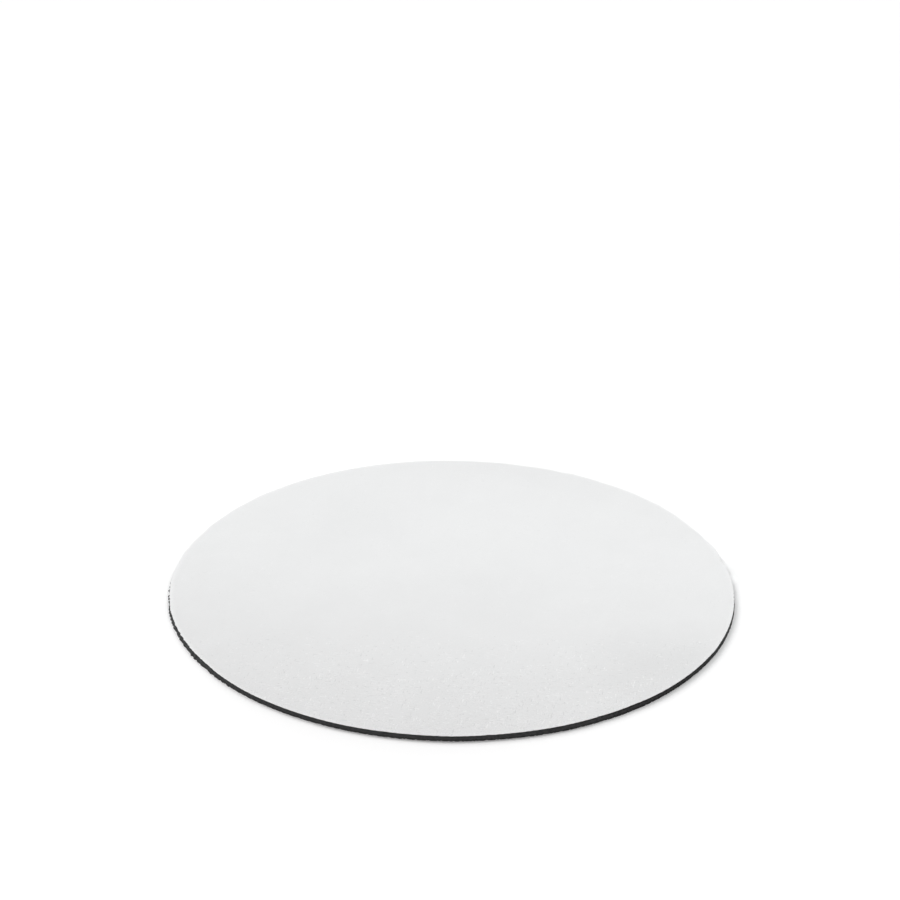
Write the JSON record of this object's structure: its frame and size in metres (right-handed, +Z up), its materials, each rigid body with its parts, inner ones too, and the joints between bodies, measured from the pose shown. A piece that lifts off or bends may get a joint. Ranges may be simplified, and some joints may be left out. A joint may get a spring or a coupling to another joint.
{
  "type": "mouse pad",
  "caption": "Thin round mouse pad: a plain white cloth top on a dark foamed-rubber base with a grippy underside, cut flush at the rim.",
  "frame": {"origin": "centre of the underside, where the pad lies on the desk", "axes": "+Z up through the pad's centre, out of the cloth; the pad is round, so +X and +Y are any two directions across it"},
  "size_m": [0.2, 0.2, 0.002],
  "materials": {
    "charcoal_rubber": "matt foamed rubber, fine open cells on the cut edge, embossed grip pattern below",
    "dry_adhesive": "thin dry hot-melt film, hidden between the layers",
    "white_polyester": "smooth fine matt weave, undyed and unprinted"
  },
  "bodies": {
    "root": {"rubber_base": "charcoal_rubber", "adhesive_film": "dry_adhesive", "cloth_top": "white_polyester"}
  },
  "joints": []
}
